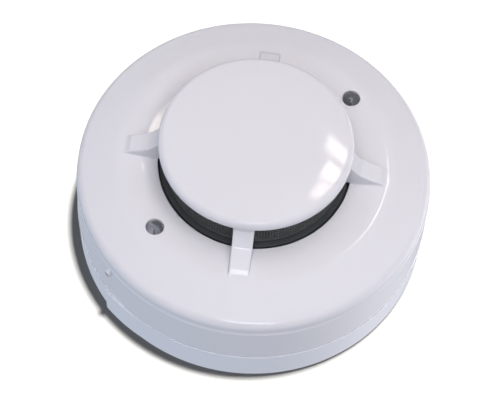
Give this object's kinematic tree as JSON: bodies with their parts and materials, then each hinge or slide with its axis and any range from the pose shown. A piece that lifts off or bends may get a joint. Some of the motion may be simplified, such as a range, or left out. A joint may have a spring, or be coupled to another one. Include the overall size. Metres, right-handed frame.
{
  "type": "heat detector",
  "caption": "Round point heat detector: dished cover, raised disc cap on ribs over a screened sensing chamber, indicator lamps, twist-off head on a surface base with screw terminals.",
  "frame": {"origin": "centre of the base's rear face, where it meets the ceiling", "axes": "+Z out of the face towards the cap; the ribs lie on +X, +Y, -X and -Y and the indicator lamps halfway between them"},
  "size_m": [0.1002, 0.1002, 0.0467],
  "materials": {
    "cover_white": "moulded, semi-gloss",
    "base_white": "moulded, semi-gloss",
    "housing_white": "moulded, satin",
    "black_plastic": "moulded, satin",
    "screen_mesh": "dark coated wire mesh",
    "lamp_resin": "clear epoxy",
    "contact_brass": "nickel plated",
    "zinc_steel": "zinc plated",
    "green_laminate": "solder-masked glass laminate",
    "chip_resin": "moulded epoxy",
    "capacitor_sleeve": "shrink sleeve",
    "varistor_coating": "dipped epoxy",
    "bead_coating": "dipped epoxy",
    "resistor_coating": "painted ceramic"
  },
  "bodies": {
    "base": {"base_plate": "base_white", "contact_strip_1": "contact_brass", "contact_strip_2": "contact_brass", "contact_strip_3": "contact_brass", "contact_strip_4": "contact_brass"},
    "head": {"blade_contact_1": "contact_brass", "blade_contact_2": "contact_brass", "blade_contact_3": "contact_brass", "blade_contact_4": "contact_brass", "bridge_rectifier": "chip_resin", "case_screw_1": "zinc_steel", "case_screw_2": "zinc_steel", "case_screw_3": "zinc_steel", "circuit_board": "green_laminate", "contact_stud_1": "contact_brass", "contact_stud_2": "contact_brass", "contact_stud_3": "contact_brass", "contact_stud_4": "contact_brass", "controller_chip": "chip_resin", "filter_capacitor": "capacitor_sleeve", "indicator_lamp_1": "lamp_resin", "indicator_lamp_2": "lamp_resin", "insect_screen": "screen_mesh", "outer_cover": "cover_white", "rear_housing": "housing_white", "reference_thermistor": "bead_coating", "resistor_1": "resistor_coating", "resistor_2": "resistor_coating", "screen_frame": "black_plastic", "sensing_thermistor": "bead_coating", "sensor_carrier": "black_plastic", "surge_varistor": "varistor_coating", "thyristor": "chip_resin"},
    "clamp_1": {"clamp_washer_1": "zinc_steel"},
    "screw_1": {"terminal_screw_1": "zinc_steel"},
    "clamp_2": {"clamp_washer_2": "zinc_steel"},
    "screw_2": {"terminal_screw_2": "zinc_steel"},
    "clamp_3": {"clamp_washer_3": "zinc_steel"},
    "screw_3": {"terminal_screw_3": "zinc_steel"},
    "clamp_4": {"clamp_washer_4": "zinc_steel"},
    "screw_4": {"terminal_screw_4": "zinc_steel"}
  },
  "joints": [
    {"name": "head_twist", "type": "hinge", "parent": "base", "child": "head", "pos_m": [0, 0, 0], "axis": [0, 0, 1], "range_deg": [0, 18]},
    {"name": "clamp_lift_1", "type": "slide", "parent": "base", "child": "clamp_1", "axis": [0, 0, 1], "range_m": [0, 0.0015]},
    {"name": "screw_turn_1", "type": "hinge", "parent": "clamp_1", "child": "screw_1", "pos_m": [0.02192, 0.02192, 0], "axis": [0, 0, 1], "range_deg": [0, 900]},
    {"name": "clamp_lift_2", "type": "slide", "parent": "base", "child": "clamp_2", "axis": [0, 0, 1], "range_m": [0, 0.0015]},
    {"name": "screw_turn_2", "type": "hinge", "parent": "clamp_2", "child": "screw_2", "pos_m": [-0.02192, 0.02192, 0], "axis": [0, 0, 1], "range_deg": [0, 900]},
    {"name": "clamp_lift_3", "type": "slide", "parent": "base", "child": "clamp_3", "axis": [0, 0, 1], "range_m": [0, 0.0015]},
    {"name": "screw_turn_3", "type": "hinge", "parent": "clamp_3", "child": "screw_3", "pos_m": [-0.02192, -0.02192, 0], "axis": [0, 0, 1], "range_deg": [0, 900]},
    {"name": "clamp_lift_4", "type": "slide", "parent": "base", "child": "clamp_4", "axis": [0, 0, 1], "range_m": [0, 0.0015]},
    {"name": "screw_turn_4", "type": "hinge", "parent": "clamp_4", "child": "screw_4", "pos_m": [0.02192, -0.02192, 0], "axis": [0, 0, 1], "range_deg": [0, 900]}
  ],
  "couplings": [
    {"joint": "screw_turn_1", "follows": "clamp_lift_1", "rad_per_m": 10472},
    {"joint": "screw_turn_2", "follows": "clamp_lift_2", "rad_per_m": 10472},
    {"joint": "screw_turn_3", "follows": "clamp_lift_3", "rad_per_m": 10472},
    {"joint": "screw_turn_4", "follows": "clamp_lift_4", "rad_per_m": 10472}
  ]
}
